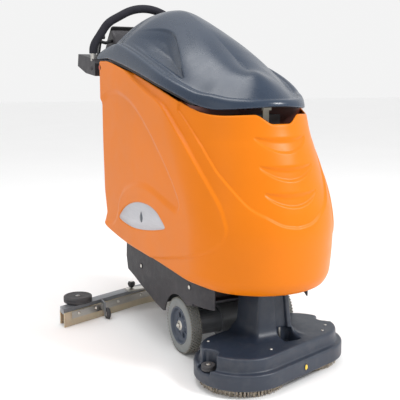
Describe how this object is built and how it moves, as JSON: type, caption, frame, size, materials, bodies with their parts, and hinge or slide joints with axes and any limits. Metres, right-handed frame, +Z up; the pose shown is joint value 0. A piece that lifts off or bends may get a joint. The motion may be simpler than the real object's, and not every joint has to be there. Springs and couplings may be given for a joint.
{
  "type": "floor scrubber machine",
  "caption": "Walk-behind floor scrubber with twin-disc brush deck, tip-up lid over its tanks, arch handle and trailing curved squeegee.",
  "frame": {"origin": "on the floor, midway along and across the machine", "axes": "+Y towards the operator (rear), -Y the driving direction, +X the machine's left side, +Z up"},
  "size_m": [0.972, 1.393, 1.26],
  "materials": {
    "tank_plastic": "moulded, satin",
    "lid_plastic": "moulded, glossy",
    "chassis_plastic": "textured",
    "deck_plastic": "moulded, satin",
    "tub_plastic": "moulded",
    "tyre_rubber": "treaded",
    "rim_plastic": "moulded",
    "black_plastic": "satin",
    "zinc": "zinc plated",
    "steel": "brushed",
    "cast": "cast",
    "bristle": "nylon tufts",
    "blade_rubber": "translucent gum",
    "seal_rubber": "soft",
    "foam": "closed-cell foam",
    "roller_plastic": "matt",
    "pin_red": "moulded",
    "stop_red": "moulded",
    "button_grey": "moulded",
    "screen": "polished",
    "reflector": "prismatic",
    "battery_case": "moulded",
    "float_plastic": "moulded",
    "strap_plastic": "moulded"
  },
  "bodies": {
    "chassis": {"chassis_tray": "chassis_plastic", "chassis_screws": "zinc", "transaxle": "cast", "castor_plate": "zinc", "solution_tank": "tank_plastic", "recovery_tub": "tub_plastic", "fill_strainer": "black_plastic", "level_strap": "strap_plastic", "lid_hinge_pins": "pin_red", "vac_housing": "black_plastic", "float_cage": "float_plastic", "console_housing": "chassis_plastic", "handle_tube": "steel", "handle_grip": "foam", "control_panel": "black_plastic", "display_screen": "screen", "battery_left": "battery_case", "battery_right": "battery_case"},
    "lid": {"lid_shell": "lid_plastic", "lid_seal": "seal_rubber"},
    "castor_swivel": {"castor_fork": "zinc"},
    "castor_wheel": {"castor_hub": "rim_plastic", "castor_tyre": "tyre_rubber"},
    "deck_arm": {"deck_lower_arm": "steel"},
    "deck_link": {"deck_upper_link": "steel"},
    "deck": {"deck_cover": "deck_plastic", "deck_frame": "steel", "deck_reflector": "reflector", "deck_fasteners": "zinc", "brush_motors": "cast"},
    "squeegee_lift": {"squeegee_arm": "steel"},
    "squeegee": {"squeegee_bracket": "zinc", "squeegee_beam": "cast", "squeegee_blades": "blade_rubber", "squeegee_strips": "steel"},
    "fan": {"vac_impeller": "cast"},
    "float": {"float_ball": "float_plastic"},
    "button_brush": {"brush_button": "button_grey"},
    "button_suction": {"suction_button": "button_grey"},
    "key": {"key_switch": "zinc"},
    "stop": {"emergency_stop": "stop_red"},
    "dosing": {"dosing_knob": "black_plastic"},
    "hand_lever": {"squeegee_lever": "black_plastic"},
    "presence": {"presence_lever": "deck_plastic"},
    "drive_wheel_right": {"tyre_right": "tyre_rubber", "rim_right": "rim_plastic"},
    "brush_right": {"brush_block_right": "black_plastic", "bristles_right": "bristle"},
    "wall_roller_right_body": {"wall_roller_right": "roller_plastic"},
    "end_roller_right_body": {"end_roller_right": "roller_plastic"},
    "trolley_wheel_right_body": {"trolley_wheel_right": "roller_plastic"},
    "clamp_knob_right_body": {"clamp_knob_right": "black_plastic"},
    "drive_wheel_left": {"tyre_left": "tyre_rubber", "rim_left": "rim_plastic"},
    "brush_left": {"brush_block_left": "black_plastic", "bristles_left": "bristle"},
    "wall_roller_left_body": {"wall_roller_left": "roller_plastic"},
    "end_roller_left_body": {"end_roller_left": "roller_plastic"},
    "trolley_wheel_left_body": {"trolley_wheel_left": "roller_plastic"},
    "clamp_knob_left_body": {"clamp_knob_left": "black_plastic"}
  },
  "joints": [
    {"name": "lid_hinge", "type": "hinge", "parent": "chassis", "child": "lid", "pos_m": [0, 0.3805, 0.993], "axis": [-1, 0, 0], "range_deg": [0, 45]},
    {"name": "castor_swivel_turn", "type": "hinge", "parent": "chassis", "child": "castor_swivel", "pos_m": [0, 0.1375, 0.135], "axis": [0, 0, 1], "continuous": true},
    {"name": "castor_roll", "type": "hinge", "parent": "castor_swivel", "child": "castor_wheel", "pos_m": [0, 0.1675, 0.05], "axis": [1, 0, 0], "continuous": true},
    {"name": "deck_lift", "type": "hinge", "parent": "chassis", "child": "deck_arm", "pos_m": [0, -0.3925, 0.196], "axis": [-1, 0, 0], "range_deg": [0, 22]},
    {"name": "deck_level", "type": "hinge", "parent": "deck_arm", "child": "deck", "pos_m": [0, -0.49642, 0.136], "axis": [-1, 0, 0], "range_deg": [-22, 0]},
    {"name": "deck_link_swing", "type": "hinge", "parent": "chassis", "child": "deck_link", "pos_m": [0, -0.3925, 0.258], "axis": [-1, 0, 0], "range_deg": [0, 22]},
    {"name": "squeegee_raise", "type": "hinge", "parent": "chassis", "child": "squeegee_lift", "pos_m": [0, 0.0375, 0.125], "axis": [1, 0, 0], "range_deg": [0, 12]},
    {"name": "squeegee_swing", "type": "hinge", "parent": "squeegee_lift", "child": "squeegee", "pos_m": [0, 0.2675, 0.09], "axis": [0, 0, 1], "range_deg": [-20, 20]},
    {"name": "fan_spin", "type": "hinge", "parent": "chassis", "child": "fan", "pos_m": [0, 0.2825, 0.79], "axis": [0, 0, 1], "continuous": true},
    {"name": "float_rise", "type": "slide", "parent": "chassis", "child": "float", "axis": [0, 0, 1], "range_m": [0, 0.05]},
    {"name": "brush_button_press", "type": "slide", "parent": "chassis", "child": "button_brush", "axis": [0, -0.7303, -0.6832], "range_m": [0, 0.003], "stiffness_N_per_m": 300, "springref_m": -0.003},
    {"name": "suction_button_press", "type": "slide", "parent": "chassis", "child": "button_suction", "axis": [0, -0.7303, -0.6832], "range_m": [0, 0.003], "stiffness_N_per_m": 300, "springref_m": -0.003},
    {"name": "stop_press", "type": "slide", "parent": "chassis", "child": "stop", "axis": [0, -0.7303, -0.6832], "range_m": [0, 0.004], "stiffness_N_per_m": 500, "springref_m": -0.003},
    {"name": "key_turn", "type": "hinge", "parent": "chassis", "child": "key", "pos_m": [0.102, 0.60397, 1.14757], "axis": [0, 0.7303, 0.6832], "range_deg": [0, 90]},
    {"name": "dosing_turn", "type": "hinge", "parent": "chassis", "child": "dosing", "pos_m": [-0.05, 0.6354, 1.11397], "axis": [0, 0.7303, 0.6832], "range_deg": [0, 270]},
    {"name": "hand_lever_pull", "type": "hinge", "parent": "chassis", "child": "hand_lever", "pos_m": [-0.188, 0.5875, 1.03], "axis": [-1, 0, 0], "range_deg": [0, 40]},
    {"name": "presence_pull", "type": "hinge", "parent": "chassis", "child": "presence", "pos_m": [0, 0.6855, 1.076], "axis": [1, 0, 0], "range_deg": [0, 8], "stiffness_Nm_per_rad": 2, "springref_deg": -8.59},
    {"name": "drive_right", "type": "hinge", "parent": "chassis", "child": "drive_wheel_right", "pos_m": [-0.1855, -0.2395, 0.1], "axis": [1, 0, 0], "continuous": true},
    {"name": "brush_spin_right", "type": "hinge", "parent": "deck", "child": "brush_right", "pos_m": [-0.13197, -0.54315, 0.04], "axis": [0, 0, 1], "continuous": true},
    {"name": "wall_roller_right_spin", "type": "hinge", "parent": "deck", "child": "wall_roller_right_body", "pos_m": [-0.2605, -0.55893, 0.074], "axis": [0, 0, 1], "continuous": true},
    {"name": "end_roller_right_spin", "type": "hinge", "parent": "squeegee", "child": "end_roller_right_body", "pos_m": [-0.4045, 0.27762, 0.085], "axis": [0, 0, 1], "continuous": true},
    {"name": "trolley_wheel_right_roll", "type": "hinge", "parent": "squeegee", "child": "trolley_wheel_right_body", "pos_m": [-0.298, 0.2295, 0.022], "axis": [1, 0, 0], "continuous": true},
    {"name": "clamp_knob_right_turn", "type": "hinge", "parent": "squeegee", "child": "clamp_knob_right_body", "pos_m": [-0.15, 0.3395, 0.095], "axis": [0, 0, 1], "continuous": true},
    {"name": "drive_left", "type": "hinge", "parent": "chassis", "child": "drive_wheel_left", "pos_m": [0.1855, -0.2395, 0.1], "axis": [1, 0, 0], "continuous": true},
    {"name": "brush_spin_left", "type": "hinge", "parent": "deck", "child": "brush_left", "pos_m": [0.13197, -0.46245, 0.04], "axis": [0, 0, 1], "continuous": true},
    {"name": "wall_roller_left_spin", "type": "hinge", "parent": "deck", "child": "wall_roller_left_body", "pos_m": [0.2605, -0.44667, 0.074], "axis": [0, 0, 1], "continuous": true},
    {"name": "end_roller_left_spin", "type": "hinge", "parent": "squeegee", "child": "end_roller_left_body", "pos_m": [0.4045, 0.27762, 0.085], "axis": [0, 0, 1], "continuous": true},
    {"name": "trolley_wheel_left_roll", "type": "hinge", "parent": "squeegee", "child": "trolley_wheel_left_body", "pos_m": [0.298, 0.2295, 0.022], "axis": [1, 0, 0], "continuous": true},
    {"name": "clamp_knob_left_turn", "type": "hinge", "parent": "squeegee", "child": "clamp_knob_left_body", "pos_m": [0.15, 0.3395, 0.095], "axis": [0, 0, 1], "continuous": true}
  ],
  "couplings": [
    {"joint": "deck_level", "follows": "deck_lift", "ratio": -1},
    {"joint": "deck_link_swing", "follows": "deck_lift", "ratio": 1},
    {"joint": "hand_lever_pull", "follows": "squeegee_raise", "ratio": 3.3333}
  ]
}
